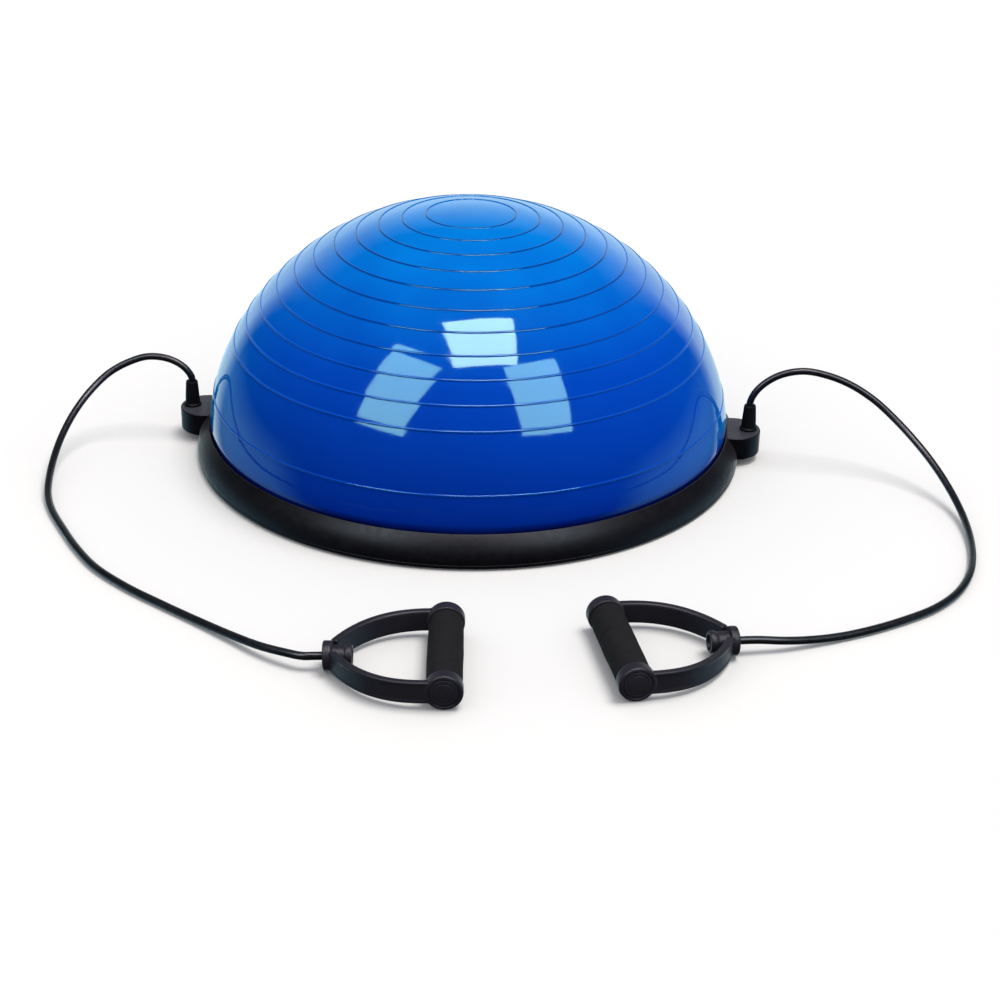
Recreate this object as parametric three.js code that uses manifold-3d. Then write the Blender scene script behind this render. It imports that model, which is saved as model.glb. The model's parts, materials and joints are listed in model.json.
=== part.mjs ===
// Balance dome trainer: an inflated half-ball clamped into a round base, with two lugs on the rim,
// each holding an elastic cord that ends in a D-handle.
// Millimetres, +Z up. Origin: centre of the underside, on the floor. The lugs lie on +X and -X.
import * as THREE from "three";
import { mergeVertices } from "three/addons/utils/BufferGeometryUtils.js";
import Module from "manifold-3d";

const wasm = await Module();
wasm.setup();

// ---------- driving dimensions ----------
const GAP = 0.3; // clearance between neighbouring pieces
const BEVEL = 1; // small bevel on a moulded edge
const BEYOND = 5; // how far a cutting shape runs on past the face that it opens
const ROUND = 60; // sides of the large turned pieces

const BASE_R = 290; // outer radius of the platform and the rim
const RIM_TOP_Z = 33; // top edge of the rim, where the dome comes out
const DOME_TOP_Z = 263.5; // highest point of the dome

// The dome's skin. Its profile is fuller than a circle near the rim, and tucks in just above it.
const DOME = {
  r: 276, wall: 2.5, powerZ: 1.74, powerR: 2.13, rings: 13, innerRings: 8,
  tuck: 4, tuckHeight: 11, neckTop: 22,
};
const BEAD = { r: 279, low: 9, top: 17 }; // the thick edge of the skin, clamped between rim and platform

const PLATE_LOW = 1.5; // underside of the platform; the feet reach the floor
const PLATE_TOP = 5.5;
const UPSTAND = { outR: 272.2, inR: 268, top: 20 }; // the platform's ring that backs the dome's skin
const STIFFENER = { count: 8, width: 4, top: 13, inR: 40 };
const FOOT = { count: 8, r: 14, circleR: 245, centreR: 22, pocket: 1 };
const SCREW = { count: 12, circleR: 283.2, headR: 3.6, headT: 1.7, shankR: 1.9, low: 1.9, tip: 15.3 };
const VALVE = { y: 120, boreR: 4.4, bodyR: 9, flangeR: 15, flangeT: 2, seatTop: 17.5, plugR: 6, plugTop: 16 };

const RIM_CREST_R = 277.6; // where the rim's rolled outer face ends, at its top
const RIM_STEPS = 7;
const LUG = { x: 285, r: 28, low: 7, top: 32 }; // round ear on the rim
const SOCKET = { x: 300, r: 7.9, recessR: 9.6, recessTop: 16.5 }; // vertical socket in the ear
const SLEEVE = { flangeR: 9.2, flangeT: 2.1, rootR: 7.8, waistR: 7.4, waistZ: 44, tipR: 5.6, top: 60 };
const STOP = { low: 8.2, r: 8.7 }; // disc on the cord's lower end

const CORD_R = 3.75;
const CORD_SIDES = 8;
const CORD_STEP = 16; // length of one straight piece of the cord's tube

// D-handle, in its own frame: origin on the outer face of the hub, +X towards the grip, +Y along the grip.
const GRIP_X = 107; // distance from the hub's outer face to the grip's axis
const HUB_Z = 13.8; // height of the hub's axis above the floor
const GRIP_Z = 17; // height of the grip's axis above the floor
const HANDLE_TILT = Math.asin((GRIP_Z - HUB_Z) / GRIP_X);
const HUB = {
  length: 26, flangeR: 13.6, flangeT: 8, neckR: 9.2, ringR: 10.4, ringX: 20,
  boreR: 4.2, pocketX: 15, pocketR: 7,
};
const ARM = { thickness: 7, height: 21, steps: 10, endY: 60.9, root: [9.5, 9.5], bow: [42, 68], lead: 87 };
const BOSS = { r: 16.9, inY: 53, outY: 65.5 };
const CAP = { seatY: 62.5, seatR: 13.2, spigot: 9, crown: 0.8 }; // end cap, in a round recess of the boss
const CORE = { r: 8.1, boreR: 5.5 };
const FOAM = { r: 16.2, half: 52.5 };

// Each cord's route from the stop under its lug, up through the sleeve, over in an arch,
// down to the floor and round to the hub of its handle.
const LEFT_ROUTE = [
  [-300, 0, 17], [-300, 0, 45], [-300, 0, 58], [-300, 0, 64], [-308, 1, 75], [-325, 3, 83],
  [-347, 2, 85], [-367, -4, 80], [-386, -14, 71], [-402, -31, 58], [-414, -55, 44], [-421, -86, 30],
  [-422, -120, 19], [-419, -153, 11], [-413, -181, 6.5], [-402, -209, 4.4], [-381, -247, 4],
  [-356, -288, 4], [-329, -324, 4], [-292, -358, 4], [-251, -388, 4], [-214, -414, 4.4],
  [-177, -441, 6.5], [-148, -462, 9.6], [-124, -475.2, 12.2], [-106, -481.8, 13.3],
];
const RIGHT_ROUTE = [
  [300, 0, 17], [300, 0, 45], [300, 0, 58], [300, 0, 64], [305, 1, 75], [316, 3, 86], [332, 4, 95],
  [354, 3, 100], [379, 1, 97], [404, -3, 89], [429, -11, 76], [452, -25, 60], [473, -45, 44],
  [489, -68, 31], [502, -96, 19], [511, -133, 10], [514, -177, 5.4], [511, -219, 4], [502, -258, 4],
  [485, -295, 4], [462, -324, 4], [437, -345, 4], [403, -368, 4], [370, -386, 4.6], [341, -399.2, 7],
  [317, -408.4, 10.2], [295, -413.6, 12.8],
];

const HANDLES = {
  left: { at: [-88.2, -480.6], yaw: 4.2, route: LEFT_ROUTE, side: -1 },
  right: { at: [274.5, -418.6], yaw: 194.4, route: RIGHT_ROUTE, side: 1 },
};

// ---------- materials ----------
const material = (color, roughness) => new THREE.MeshStandardMaterial({ color, roughness, metalness: 0 });
const DOME_LOOK = material(0x0a52c8, 0.18);
const PLASTIC_LOOK = material(0x26262c, 0.6);
const HANDLE_LOOK = material(0x1f1f26, 0.5);
const RUBBER_LOOK = material(0x141417, 0.7);
const FOAM_LOOK = material(0x1a1a20, 0.95);
const STEEL_LOOK = new THREE.MeshStandardMaterial({ color: 0xa8adb2, roughness: 0.35, metalness: 1 });

const part = new THREE.Group();

// ---------- helpers ----------
function add(name, geometry, look, parent = part) {
  const mesh = new THREE.Mesh(geometry, look.clone());
  mesh.name = name;
  parent.add(mesh);
  return mesh;
}

// A turned solid about Z. The profile is a list of [radius, z] that goes up the outside.
function turned(profile, segments) {
  const points = profile.map(([radius, z]) => new THREE.Vector2(radius, z));
  return new THREE.LatheGeometry(points, segments).rotateX(Math.PI / 2);
}

function cylinder(radius, low, high, segments = 12) {
  return turned([[0, low], [radius, low], [radius, high], [0, high]], segments);
}

function solid(geometry) {
  const bare = geometry.clone();
  bare.deleteAttribute("normal");
  bare.deleteAttribute("uv");
  const merged = mergeVertices(bare, 1e-4);
  return new wasm.Manifold(new wasm.Mesh({
    numProp: 3,
    vertProperties: new Float32Array(merged.attributes.position.array),
    triVerts: new Uint32Array(merged.index.array),
  }));
}

function shape(manifold) {
  const mesh = manifold.getMesh();
  const geometry = new THREE.BufferGeometry();
  geometry.setAttribute("position", new THREE.BufferAttribute(mesh.vertProperties, 3));
  geometry.setIndex(new THREE.BufferAttribute(mesh.triVerts, 1));
  geometry.computeVertexNormals();
  return geometry;
}

const moved = (geometry, x, y, z = 0) => geometry.clone().translate(x, y, z);

// Places on a circle, as [x, y, angle].
function around(count, radius, start = 0) {
  return Array.from({ length: count }, (_, i) => {
    const angle = start + (2 * Math.PI * i) / count;
    return [radius * Math.cos(angle), radius * Math.sin(angle), angle];
  });
}

const numbered = (stem, i) => `${stem}_${String(i + 1).padStart(2, "0")}`;

// ---------- base ----------
const FEET = [
  [0, 0, FOOT.centreR],
  ...around(FOOT.count, FOOT.circleR, Math.PI / FOOT.count).map(([x, y]) => [x, y, FOOT.r]),
];
const SCREW_PLACES = around(SCREW.count, SCREW.circleR, Math.PI / SCREW.count);

// A flat plate with a ledge for the rim, and the ring that backs the dome's skin.
function plate() {
  const ledge = BEAD.low - GAP;
  return turned([
    [0, PLATE_LOW], [BASE_R - BEVEL, PLATE_LOW], [BASE_R, PLATE_LOW + BEVEL], [BASE_R, PLATE_TOP],
    [BEAD.r, PLATE_TOP], [BEAD.r, ledge], [UPSTAND.outR, ledge], [UPSTAND.outR, UPSTAND.top],
    [UPSTAND.inR, UPSTAND.top], [UPSTAND.inR, PLATE_TOP], [0, PLATE_TOP],
  ], ROUND);
}

// A radial bar on the plate, sunk into it and into the ring round it.
function stiffener() {
  const low = PLATE_LOW + BEVEL;
  const outR = UPSTAND.inR + BEVEL;
  const bar = new THREE.BoxGeometry(outR - STIFFENER.inR, STIFFENER.width, STIFFENER.top - low);
  return bar.translate((outR + STIFFENER.inR) / 2, 0, (STIFFENER.top + low) / 2);
}

// The stepped hole for one screw: a counterbore for its head, and a clearance hole.
function screwHole() {
  const headR = SCREW.headR + GAP;
  const shankR = SCREW.shankR + GAP;
  const step = SCREW.low + SCREW.headT + GAP;
  const top = PLATE_TOP + BEYOND;
  return turned([[0, 0], [headR, 0], [headR, step], [shankR, step], [shankR, top], [0, top]], 8);
}

function basePlatform() {
  let body = solid(plate());
  for (const [, , angle] of around(STIFFENER.count, 1, Math.PI / STIFFENER.count)) {
    body = body.add(solid(stiffener().rotateZ(angle)));
  }
  for (const [x, y, radius] of FEET) {
    const pocket = cylinder(radius + GAP, 0, PLATE_LOW + FOOT.pocket);
    body = body.subtract(solid(moved(pocket, x, y)));
  }
  for (const [x, y] of SCREW_PLACES) {
    body = body.subtract(solid(moved(screwHole(), x, y)));
  }
  const valveHole = cylinder(VALVE.bodyR + GAP, 0, PLATE_TOP + BEYOND, 14);
  return shape(body.subtract(solid(moved(valveHole, 0, VALVE.y))));
}

// The outside of the rim: a rolled face that leans in more and more towards its crest.
function rimOutside() {
  const low = PLATE_TOP + GAP;
  const crest = RIM_TOP_Z - BEVEL;
  const face = Array.from({ length: RIM_STEPS + 1 }, (_, i) => {
    const share = i / RIM_STEPS;
    return [BASE_R - (BASE_R - RIM_CREST_R) * share ** 2, low + (crest - low) * share];
  });
  return turned([[0, low], ...face, [RIM_CREST_R - BEVEL / 2, RIM_TOP_Z], [0, RIM_TOP_Z]], ROUND);
}

// The space inside the rim: a groove for the dome's bead, and the throat that the skin comes out of.
function rimCavity() {
  const throat = DOME.r + GAP;
  const groove = BEAD.r + GAP;
  return turned([
    [0, 0], [groove, 0], [groove, BEAD.top + GAP], [throat, BEAD.top + 2 * GAP],
    [throat, RIM_TOP_Z + BEYOND], [0, RIM_TOP_Z + BEYOND],
  ], ROUND);
}

function ear() {
  return turned([
    [0, LUG.low], [LUG.r - BEVEL, LUG.low], [LUG.r, LUG.low + BEVEL], [LUG.r, LUG.top - BEVEL],
    [LUG.r - BEVEL, LUG.top], [0, LUG.top],
  ], 30);
}

function earSocket() {
  return turned([
    [0, 0], [SOCKET.recessR, 0], [SOCKET.recessR, SOCKET.recessTop], [SOCKET.r, SOCKET.recessTop],
    [SOCKET.r, LUG.top + BEYOND], [0, LUG.top + BEYOND],
  ], 16);
}

function rimRing() {
  let body = solid(rimOutside());
  for (const side of [-1, 1]) {
    body = body.add(solid(moved(ear(), side * LUG.x, 0)));
  }
  body = body.subtract(solid(rimCavity()));
  for (const side of [-1, 1]) {
    body = body.subtract(solid(moved(earSocket(), side * SOCKET.x, 0)));
  }
  const pilot = cylinder(SCREW.shankR + GAP, 0, SCREW.tip + GAP, 8);
  for (const [x, y] of SCREW_PLACES) {
    body = body.subtract(solid(moved(pilot, x, y)));
  }
  return shape(body);
}

// The dome's profile as [radius, z], at a share of the way from the rim (0) to the crown (1),
// moved in from the outer face by an inset.
function domePoint(share, inset) {
  const rise = Math.sin((share * Math.PI) / 2);
  const z = RIM_TOP_Z + (DOME_TOP_Z - inset - RIM_TOP_Z) * rise;
  const full = (DOME.r - inset) * (1 - rise ** DOME.powerZ) ** (1 / DOME.powerR);
  const low = Math.max(0, 1 - (z - RIM_TOP_Z) / DOME.tuckHeight);
  return [share === 1 ? 0 : full - DOME.tuck * low ** 2, z];
}

// More rows near the rim, where the skin tucks in.
function domeRows(count, inset) {
  return Array.from({ length: count + 1 }, (_, i) => domePoint((i / count) ** 1.25, inset));
}

// The bladder: a thin domed skin, open below, with a thick bead that the rim and the platform clamp.
function domeBladder() {
  const neck = DOME.r - DOME.wall;
  const bead = [[neck, BEAD.low], [BEAD.r, BEAD.low], [BEAD.r, BEAD.top], [DOME.r, BEAD.top + GAP]];
  const outside = domeRows(DOME.rings, 0);
  const inside = domeRows(DOME.innerRings, DOME.wall).reverse();
  return turned([...bead, ...outside, ...inside, [neck, DOME.neckTop], [neck, BEAD.low]], ROUND);
}

// A rubber grommet through the platform that carries the plug.
function valveSeat() {
  const low = PLATE_LOW + GAP;
  const flange = PLATE_TOP + GAP;
  return turned([
    [VALVE.boreR, low], [VALVE.bodyR, low], [VALVE.bodyR, flange], [VALVE.flangeR, flange],
    [VALVE.flangeR, flange + VALVE.flangeT], [VALVE.bodyR, flange + VALVE.flangeT + BEVEL],
    [VALVE.bodyR - 2 * BEVEL, VALVE.seatTop], [VALVE.boreR, VALVE.seatTop], [VALVE.boreR, low],
  ], 14);
}

// The plug: a round head under the platform and a shaft with one shallow groove.
function valvePlug() {
  const low = 0.4;
  const shaft = VALVE.boreR - GAP;
  const groove = PLATE_TOP + 3.5;
  return turned([
    [0, low], [VALVE.plugR - GAP, low], [VALVE.plugR, low + GAP], [VALVE.plugR, PLATE_LOW],
    [shaft, PLATE_LOW], [shaft, groove - BEVEL], [shaft - BEVEL / 2, groove], [shaft, groove + BEVEL],
    [shaft, VALVE.plugTop - 2 * BEVEL], [shaft - BEVEL, VALVE.plugTop], [0, VALVE.plugTop],
  ], 12);
}

function screw() {
  const headTop = SCREW.low + SCREW.headT;
  return turned([
    [0, SCREW.low], [SCREW.headR - GAP, SCREW.low], [SCREW.headR, SCREW.low + GAP], [SCREW.headR, headTop],
    [SCREW.shankR, headTop], [SCREW.shankR, SCREW.tip - 2 * BEVEL], [0, SCREW.tip],
  ], 8);
}

function buildBase() {
  add("base_platform", basePlatform(), PLASTIC_LOOK);
  add("rim_ring", rimRing(), PLASTIC_LOOK);
  add("dome_bladder", domeBladder(), DOME_LOOK);
  add("valve_seat", valveSeat(), RUBBER_LOOK).position.set(0, VALVE.y, 0);
  add("valve_plug", valvePlug(), RUBBER_LOOK).position.set(0, VALVE.y, 0);
  FEET.forEach(([x, y, radius], i) => {
    const pad = cylinder(radius, 0, PLATE_LOW + FOOT.pocket - GAP);
    add(i ? numbered("foot", i - 1) : "foot_centre", pad, RUBBER_LOOK).position.set(x, y, 0);
  });
  SCREW_PLACES.forEach(([x, y], i) => {
    add(numbered("rim_screw", i), screw(), STEEL_LOOK).position.set(x, y, 0);
  });
}

// ---------- cords ----------
// A point on the hub's axis, at a distance along it from the hub's outer face.
function hubPoint({ at, yaw }, distance) {
  const angle = THREE.MathUtils.degToRad(yaw);
  const flat = distance * Math.cos(HANDLE_TILT);
  const z = HUB_Z + distance * Math.sin(HANDLE_TILT);
  return new THREE.Vector3(at[0] + flat * Math.cos(angle), at[1] + flat * Math.sin(angle), z);
}

// The cord ends inside the hub, in front of its stop, so its last points lie on the hub's axis.
function cord(handle) {
  const points = handle.route.map(([x, y, z]) => new THREE.Vector3(x, y, z));
  for (const distance of [-8, -2, 6, HUB.pocketX - GAP]) {
    points.push(hubPoint(handle, distance));
  }
  const curve = new THREE.CatmullRomCurve3(points, false, "centripetal");
  curve.arcLengthDivisions = 800;
  const corners = around(CORD_SIDES, CORD_R, Math.PI / CORD_SIDES);
  const section = new THREE.Shape(corners.map(([x, y]) => new THREE.Vector2(x, y)));
  const steps = Math.round(curve.getLength() / CORD_STEP);
  return new THREE.ExtrudeGeometry(section, { extrudePath: curve, steps });
}

// A tapered rubber sleeve: a plain shank in the socket, a flange on the ear and a cone above it.
function anchorSleeve() {
  const bore = CORD_R + GAP;
  const shank = SOCKET.r - GAP;
  const low = SOCKET.recessTop + BEVEL;
  const flange = LUG.top + GAP;
  return turned([
    [bore, low], [shank, low], [shank, flange], [SLEEVE.flangeR, flange],
    [SLEEVE.flangeR, flange + SLEEVE.flangeT], [SLEEVE.rootR, flange + SLEEVE.flangeT + BEVEL],
    [SLEEVE.waistR, SLEEVE.waistZ], [SLEEVE.tipR + BEVEL, SLEEVE.top - BEVEL], [SLEEVE.tipR, SLEEVE.top],
    [bore, SLEEVE.top], [bore, low],
  ], 14);
}

// The disc under the ear that the cord's lower end is moulded to: it stops the cord pulling through.
function cordStop() {
  const top = SOCKET.recessTop - GAP;
  return turned([
    [0, STOP.low], [STOP.r - BEVEL, STOP.low], [STOP.r, STOP.low + BEVEL], [STOP.r, top - BEVEL],
    [STOP.r - BEVEL, top], [0, top],
  ], 12);
}

// ---------- D-handle ----------
// One bowed band arm, seen from above, extruded to its height.
function arm(side) {
  const centre = new THREE.CubicBezierCurve(
    new THREE.Vector2(...ARM.root), new THREE.Vector2(...ARM.bow),
    new THREE.Vector2(ARM.lead, ARM.endY), new THREE.Vector2(GRIP_X, ARM.endY),
  );
  const edge = (offset) => Array.from({ length: ARM.steps + 1 }, (_, i) => {
    const share = i / ARM.steps;
    const point = centre.getPoint(share);
    const along = centre.getTangent(share);
    return new THREE.Vector2(point.x - along.y * offset, side * (point.y + along.x * offset));
  });
  const half = ARM.thickness / 2 - BEVEL;
  const outline = new THREE.Shape([...edge(half), ...edge(-half).reverse()]);
  const bevel = { bevelEnabled: true, bevelSize: BEVEL, bevelThickness: BEVEL, bevelSegments: 1 };
  const band = new THREE.ExtrudeGeometry(outline, { depth: ARM.height - 2 * BEVEL, steps: 1, ...bevel });
  return band.translate(0, 0, BEVEL - ARM.height / 2);
}

// A turned piece laid along the handle's X axis, and one laid along its Y axis.
const alongX = (profile, segments) => turned(profile, segments).rotateY(Math.PI / 2);
const alongY = (profile, segments) => turned(profile, segments).rotateX(-Math.PI / 2);

// A short tube with a wide flange where the cord enters and a narrow one at its inner end.
function hub() {
  return alongX([
    [0, 0], [HUB.flangeR - BEVEL, 0], [HUB.flangeR, BEVEL], [HUB.flangeR, HUB.flangeT - BEVEL],
    [HUB.flangeR - BEVEL, HUB.flangeT], [HUB.neckR, HUB.flangeT], [HUB.neckR, HUB.ringX],
    [HUB.ringR, HUB.ringX + BEVEL], [HUB.ringR, HUB.length - BEVEL], [HUB.ringR - BEVEL, HUB.length],
    [0, HUB.length],
  ], 18);
}

function hubBore() {
  return alongX([
    [0, -BEYOND], [HUB.boreR, -BEYOND], [HUB.boreR, HUB.pocketX], [HUB.pocketR, HUB.pocketX],
    [HUB.pocketR, HUB.length + BEYOND], [0, HUB.length + BEYOND],
  ], 12);
}

function boss() {
  return alongY([
    [0, BOSS.inY], [BOSS.r - BEVEL, BOSS.inY], [BOSS.r, BOSS.inY + BEVEL], [BOSS.r, BOSS.outY - 2 * BEVEL],
    [BOSS.r - 2 * BEVEL, BOSS.outY], [0, BOSS.outY],
  ], 22);
}

// The stepped hole in a boss: a bearing for the grip's core, and a recess for the end cap.
function bossBore() {
  const bearing = CORE.r + GAP;
  return alongY([
    [0, BOSS.inY - BEYOND], [bearing, BOSS.inY - BEYOND], [bearing, CAP.seatY], [CAP.seatR, CAP.seatY],
    [CAP.seatR, BOSS.outY + BEYOND], [0, BOSS.outY + BEYOND],
  ], 16);
}

// Hub, two arms and two round bosses, moulded in one piece.
function yoke() {
  let body = solid(hub());
  for (const side of [-1, 1]) {
    const turn = side > 0 ? 0 : Math.PI;
    body = body.add(solid(arm(side)));
    body = body.add(solid(boss().rotateZ(turn).translate(GRIP_X, 0, 0)));
    body = body.subtract(solid(bossBore().rotateZ(turn).translate(GRIP_X, 0, 0)));
  }
  return shape(body.subtract(solid(hubBore())));
}

// The knob on the cord's end, inside the hub, rounded off towards the grip.
function hubStop() {
  const radius = HUB.pocketR - 2 * GAP;
  const start = HUB.pocketX + GAP;
  const shoulder = start + 5;
  const end = start + 9;
  return alongX([
    [0, start], [radius - BEVEL, start], [radius, start + BEVEL], [radius, shoulder],
    [radius / 2, end - BEVEL], [0, end],
  ], 10);
}

function gripCore() {
  const half = CAP.seatY - GAP;
  return alongY([
    [CORE.boreR, -half], [CORE.r, -half], [CORE.r, half], [CORE.boreR, half], [CORE.boreR, -half],
  ], 14);
}

function gripFoam() {
  const bore = CORE.r + GAP;
  const edge = FOAM.half - BEVEL;
  return alongY([
    [bore, -FOAM.half], [FOAM.r - BEVEL, -FOAM.half], [FOAM.r, -edge], [FOAM.r, edge],
    [FOAM.r - BEVEL, FOAM.half], [bore, FOAM.half], [bore, -FOAM.half],
  ], 18);
}

// A low domed disc with a spigot that fits inside the grip's core.
function endCap() {
  const spigot = CORE.boreR - GAP;
  const disc = CAP.seatR - 2 * GAP;
  const tip = CAP.seatY - CAP.spigot;
  const seat = CAP.seatY + GAP;
  return alongY([
    [0, tip], [spigot, tip], [spigot, seat], [disc, seat], [disc, BOSS.outY - BEVEL / 2],
    [disc - 2 * BEVEL, BOSS.outY + CAP.crown / 2], [0, BOSS.outY + CAP.crown],
  ], 14);
}

function buildHandle(name, handle) {
  const turn = new THREE.Group();
  turn.position.set(handle.at[0], handle.at[1], HUB_Z);
  turn.rotation.set(0, -HANDLE_TILT, THREE.MathUtils.degToRad(handle.yaw), "ZYX");
  part.add(turn);
  const grip = new THREE.Group();
  grip.position.set(GRIP_X, 0, 0);
  turn.add(grip);
  add(`${name}_yoke`, yoke(), HANDLE_LOOK, turn);
  add(`${name}_hub_stop`, hubStop(), RUBBER_LOOK, turn);
  add(`${name}_grip_core`, gripCore(), HANDLE_LOOK, grip);
  add(`${name}_grip_foam`, gripFoam(), FOAM_LOOK, grip);
  add(`${name}_end_cap_a`, endCap(), HANDLE_LOOK, grip);
  add(`${name}_end_cap_b`, endCap(), HANDLE_LOOK, grip).rotation.z = Math.PI;
}

function buildBand(name, handle) {
  const x = handle.side * SOCKET.x;
  add(`${name}_cord`, cord(handle), RUBBER_LOOK);
  add(`${name}_anchor_sleeve`, anchorSleeve(), RUBBER_LOOK).position.set(x, 0, 0);
  add(`${name}_cord_stop`, cordStop(), RUBBER_LOOK).position.set(x, 0, 0);
  buildHandle(name, handle);
}

buildBase();
for (const [name, handle] of Object.entries(HANDLES)) {
  buildBand(name, handle);
}

export default part;
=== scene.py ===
"""Looks of the balance dome trainer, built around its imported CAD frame.

Objects are in metres, +Z up. Outlines are written in millimetres, and mesh_object() turns them
into metres."""
import json
import math

import bpy
import numpy as np
from mathutils import Matrix, Vector


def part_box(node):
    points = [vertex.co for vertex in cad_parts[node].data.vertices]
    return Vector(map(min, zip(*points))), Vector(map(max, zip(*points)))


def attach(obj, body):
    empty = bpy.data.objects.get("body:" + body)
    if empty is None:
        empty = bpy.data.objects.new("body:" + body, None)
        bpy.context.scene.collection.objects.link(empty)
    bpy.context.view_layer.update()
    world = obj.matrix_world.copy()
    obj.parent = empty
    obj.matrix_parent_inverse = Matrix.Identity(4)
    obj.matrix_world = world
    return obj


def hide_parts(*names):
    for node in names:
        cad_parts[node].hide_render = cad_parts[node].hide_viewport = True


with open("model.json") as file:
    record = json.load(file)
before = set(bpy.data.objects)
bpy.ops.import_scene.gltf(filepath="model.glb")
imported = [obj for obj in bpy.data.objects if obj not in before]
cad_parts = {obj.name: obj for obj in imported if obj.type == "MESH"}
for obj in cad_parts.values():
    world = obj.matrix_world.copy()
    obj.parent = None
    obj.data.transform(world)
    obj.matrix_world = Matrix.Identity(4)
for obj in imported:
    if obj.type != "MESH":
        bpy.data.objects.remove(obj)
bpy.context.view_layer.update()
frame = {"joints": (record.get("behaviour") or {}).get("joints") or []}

JOINTS = {joint["name"]: joint for joint in frame["joints"]}
SIDES = ("left", "right")

# ---------- driving sizes (millimetres) ----------
def mm(length):
    return length * 1000


GAP = 0.3  # clearance between neighbouring pieces
OVERSHOOT = 5  # how far a cutting shape goes past the surface that it cuts
EDGE = 0.8  # the bevel round the mouth of a hole

LUG_INSET = 5  # how far inside the base's edge a lug is centred
LUG_STEP = 1  # how far a lug's top lies below the ring's
BASE_R = mm(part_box("base_platform")[1].x)
DOME_TOP = mm(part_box("dome_bladder")[1].z)
RIM_LOW = mm(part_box("rim_ring")[0].z)
RIM_TOP = mm(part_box("rim_ring")[1].z)
SOCKET_X = mm(JOINTS["right_anchor_swivel"]["pos_m"][0])
LUG_R = mm(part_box("rim_ring")[1].x) - BASE_R + LUG_INSET
LUG_CENTRE_X = mm(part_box("rim_ring")[1].x) - LUG_R
LUG_TOP = RIM_TOP - LUG_STEP
VALVE_Y = mm((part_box("valve_seat")[0].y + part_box("valve_seat")[1].y) / 2)

DOME_R = 276
BEAD_R = 279  # the dome's bead, which the platform and the ring clamp
BEAD_LOW = 9
BEAD_TOP = 17
PLATE_LOW = 1.5
PLATE_TOP = 5.5

# Sides of the turned pieces.
LARGE_ROUND = 288
BOSS_ROUND = 128
HANDLE_ROUND = 96
FOOT_ROUND = 72
ROUND = 64
POCKET_ROUND = 48
SCREW_ROUND = 32
PILOT_ROUND = 24

# ---------- camera (metres) ----------
CAMERA_AT = Vector((0.1550, -2.0094, 0.9400))
CAMERA_AIM = Vector((0.0356, 0, -0.0668))
CAMERA_ROLL = math.radians(1.14)
CAMERA_LENS = 73.8  # millimetres
CAMERA_SENSOR = 36  # millimetres


def make_camera():
    data = bpy.data.cameras.new("camera")
    data.lens = CAMERA_LENS
    data.sensor_width = CAMERA_SENSOR
    data.clip_end = 200
    camera = add_object("camera", data)
    level = (CAMERA_AIM - CAMERA_AT).to_track_quat("-Z", "Y").to_matrix().to_4x4()
    camera.matrix_world = Matrix.Translation(CAMERA_AT) @ level @ Matrix.Rotation(CAMERA_ROLL, 4, "Z")
    bpy.context.scene.camera = camera


# ---------- object and mesh helpers ----------
def add_object(name, data):
    obj = bpy.data.objects.new(name, data)
    bpy.context.scene.collection.objects.link(obj)
    return obj


def rounded(corners, closed=False, turn=15):
    """An outline from corners (a, b) or (a, b, radius): a corner with a radius becomes an arc."""
    outline = []
    for i, corner in enumerate(corners):
        here = Vector(corner[:2])
        radius = corner[2] if len(corner) > 2 else 0
        if not radius:
            outline.append(tuple(here))
            continue
        back = Vector(corners[i - 1][:2]) - here
        ahead = Vector(corners[(i + 1) % len(corners)][:2]) - here
        half = back.angle(ahead) / 2
        reach = min(radius / math.tan(half), 0.49 * back.length, 0.49 * ahead.length)
        middle = (back.normalized() + ahead.normalized()).normalized() * (reach / math.cos(half))
        first = back.normalized() * reach - middle
        last = ahead.normalized() * reach - middle
        sweep = math.pi - 2 * half
        steps = max(2, round(math.degrees(sweep) / turn))
        for k in range(steps + 1):
            share = k / steps
            spoke = first * math.sin((1 - share) * sweep) + last * math.sin(share * sweep)
            outline.append(tuple(here + middle + spoke / math.sin(sweep)))
    if closed:
        outline.append(outline[0])
    return outline


def on_axis(radius):
    return radius < 1e-6


def turned(profile, sides=ROUND):
    """A solid turned about Z from (radius, z) points that go up the outside, as points and faces. The
    profile starts and ends on the axis, or closes on itself."""
    closed = profile[0] == profile[-1]
    rows = profile[:-1] if closed else profile
    points = []
    starts = []
    for radius, z in rows:
        starts.append(len(points))
        if on_axis(radius):
            points.append((0, 0, z))
            continue
        for k in range(sides):
            angle = 2 * math.pi * k / sides
            points.append((radius * math.cos(angle), radius * math.sin(angle), z))
    faces = []
    last = len(rows) if closed else len(rows) - 1
    for low in range(last):
        high = (low + 1) % len(rows)
        for k in range(sides):
            after = (k + 1) % sides
            lower = [starts[low]] if on_axis(rows[low][0]) else [starts[low] + k, starts[low] + after]
            upper = [starts[high]] if on_axis(rows[high][0]) else [starts[high] + after, starts[high] + k]
            if len(lower) + len(upper) > 2:
                faces.append(lower + upper)
    return np.array(points, float), faces


def placed(shape, matrix):
    points, faces = shape
    matrix = np.array(matrix)
    return points @ matrix[:3, :3].T + matrix[:3, 3], faces


def moved(shape, x, y):
    return placed(shape, Matrix.Translation((x, y, 0)))


def joined(shapes):
    points = []
    faces = []
    start = 0
    for some_points, some_faces in shapes:
        points.append(some_points)
        faces += [[start + i for i in face] for face in some_faces]
        start += len(some_points)
    return np.concatenate(points), faces


def box(low, high):
    (x0, y0, z0), (x1, y1, z1) = low, high
    points = [(x, y, z) for z in (z0, z1) for y in (y0, y1) for x in (x0, x1)]
    faces = [(0, 2, 3, 1), (4, 5, 7, 6), (0, 1, 5, 4), (2, 6, 7, 3), (0, 4, 6, 2), (1, 3, 7, 5)]
    return np.array(points, float), [list(face) for face in faces]


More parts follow.
